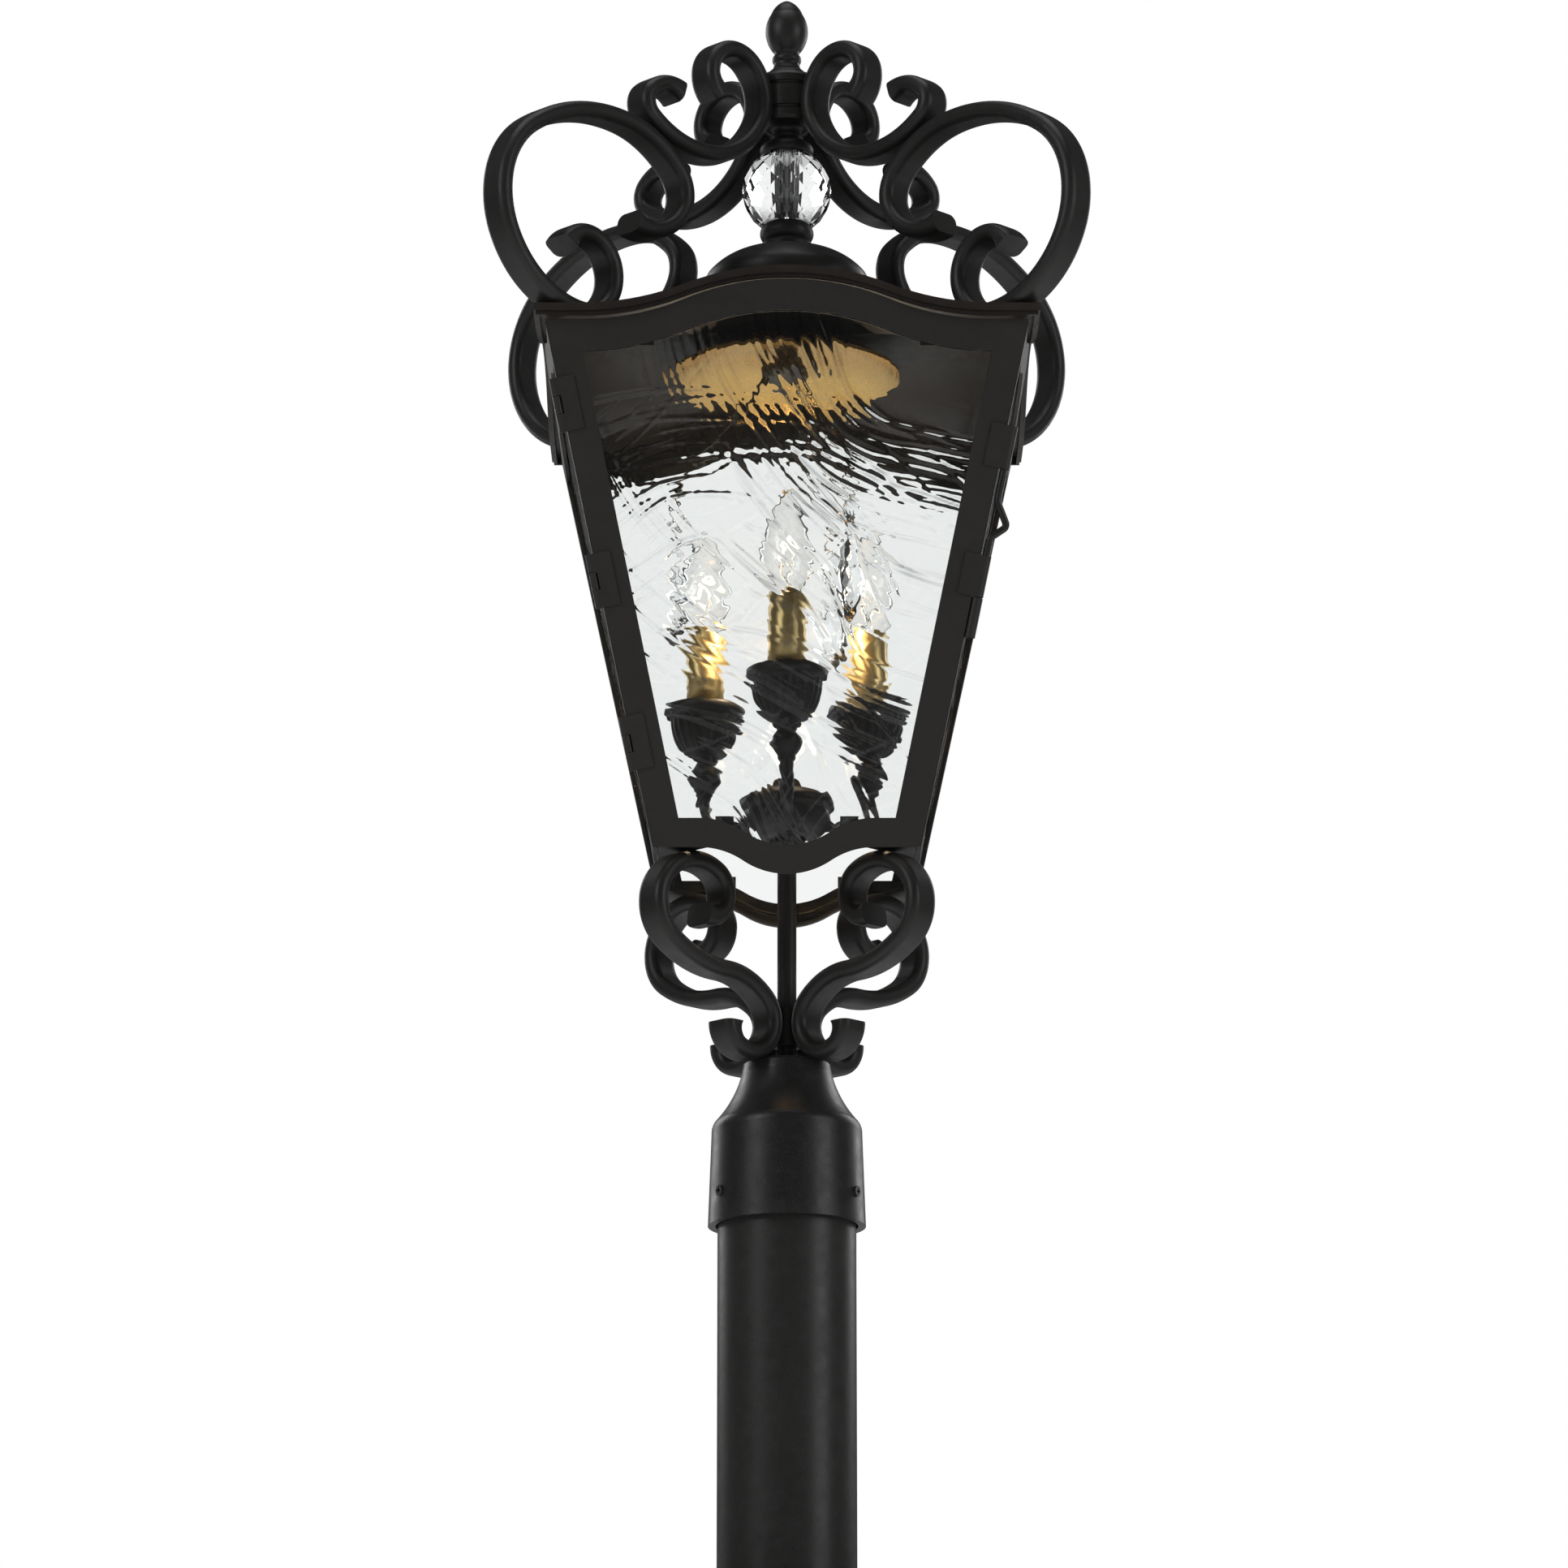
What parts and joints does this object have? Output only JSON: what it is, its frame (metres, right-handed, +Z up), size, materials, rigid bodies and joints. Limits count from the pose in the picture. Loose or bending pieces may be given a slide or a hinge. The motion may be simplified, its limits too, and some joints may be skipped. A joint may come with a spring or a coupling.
{
  "type": "post top lantern",
  "caption": "Outdoor post-top lantern: tapered glass cage with hinged door and slide bolt, ogee roof, iron scrolls, candle lamps, crystal drops and a faceted ball, on a flanged tube post.",
  "frame": {"origin": "centre of the foot flange's underside, on the ground", "axes": "+Z up the post, -Y out of the door side"},
  "size_m": [0.332, 0.332, 0.9535],
  "materials": {
    "black_coating": "satin, fine grain",
    "post_coating": "semi-gloss, fine speckle",
    "black_hardware": "semi-gloss",
    "water_glass": "clear, rippled",
    "bulb_glass": "clear, polished",
    "crystal": "cut, polished",
    "silvered_tube": "polished",
    "gold_metal": "satin",
    "socket_plastic": "matte"
  },
  "bodies": {
    "lantern": {"base_flange": "post_coating", "big_scroll_back_left": "black_coating", "big_scroll_back_right": "black_coating", "big_scroll_front_left": "black_coating", "big_scroll_front_right": "black_coating", "bulbs": "bulb_glass", "cage_glass_clips": "black_coating", "candle_arms": "black_coating", "candle_cups": "black_coating", "candle_sleeves": "gold_metal", "central_rod": "black_coating", "column": "black_coating", "corner_gussets": "black_coating", "crystal_ball": "crystal", "crystal_tube": "silvered_tube", "dome_cap": "black_coating", "door_jamb": "black_coating", "finial": "black_coating", "foot_scroll_back_left": "black_coating", "foot_scroll_back_right": "black_coating", "foot_scroll_front_left": "black_coating", "foot_scroll_front_right": "black_coating", "frame_back": "black_coating", "frame_left": "black_coating", "frame_right": "black_coating", "glass_back": "water_glass", "glass_left": "water_glass", "glass_right": "water_glass", "hinge_cage_leaves": "black_coating", "hinge_pins": "black_hardware", "hub": "black_coating", "lamp_sockets": "socket_plastic", "latch_keeper": "black_coating", "lock_nuts": "black_coating", "lower_collar": "black_coating", "pendant_spider": "black_coating", "post": "post_coating", "post_fitter": "black_coating", "reflector_dish": "gold_metal", "roof": "black_coating", "roof_crown": "black_coating", "scroll_collar": "black_coating", "set_screws": "black_hardware", "small_scroll_back_left": "black_coating", "small_scroll_back_right": "black_coating", "small_scroll_front_left": "black_coating", "small_scroll_front_right": "black_coating", "spindle": "black_coating"},
    "door": {"door_stile_left": "black_coating", "door_stile_right": "black_coating", "door_top_rail": "black_coating", "door_bottom_rail": "black_coating", "glass_door": "water_glass", "door_glass_clips": "black_coating", "hinge_door_leaves": "black_coating", "latch_barrels": "black_coating"},
    "bolt": {"latch_bolt": "black_hardware"},
    "crystal_left": {"pendant_left": "crystal"},
    "crystal_front": {"pendant_front": "crystal"},
    "crystal_back": {"pendant_back": "crystal"}
  },
  "joints": [
    {"name": "door_hinge", "type": "hinge", "parent": "lantern", "child": "door", "pos_m": [-0.0753, -0.07143, 0.43287], "axis": [0.2017, 0.2017, -0.9585], "range_deg": [0, 100]},
    {"name": "bolt_slide", "type": "slide", "parent": "door", "child": "bolt", "axis": [-0.2017, 0.2017, -0.9585], "range_m": [0, 0.007]},
    {"name": "swing_left", "type": "hinge", "parent": "lantern", "child": "crystal_left", "pos_m": [-0.06185, -0.00432, 0.64965], "axis": [0.0698, -0.9976, 0], "range_deg": [-8, 8]},
    {"name": "swing_front", "type": "hinge", "parent": "lantern", "child": "crystal_front", "pos_m": [0.03467, -0.0514, 0.64965], "axis": [0.829, 0.5592, 0], "range_deg": [-8, 8]},
    {"name": "swing_back", "type": "hinge", "parent": "lantern", "child": "crystal_back", "pos_m": [0.02718, 0.05572, 0.64965], "axis": [-0.8988, 0.4384, 0], "range_deg": [-8, 8]}
  ]
}
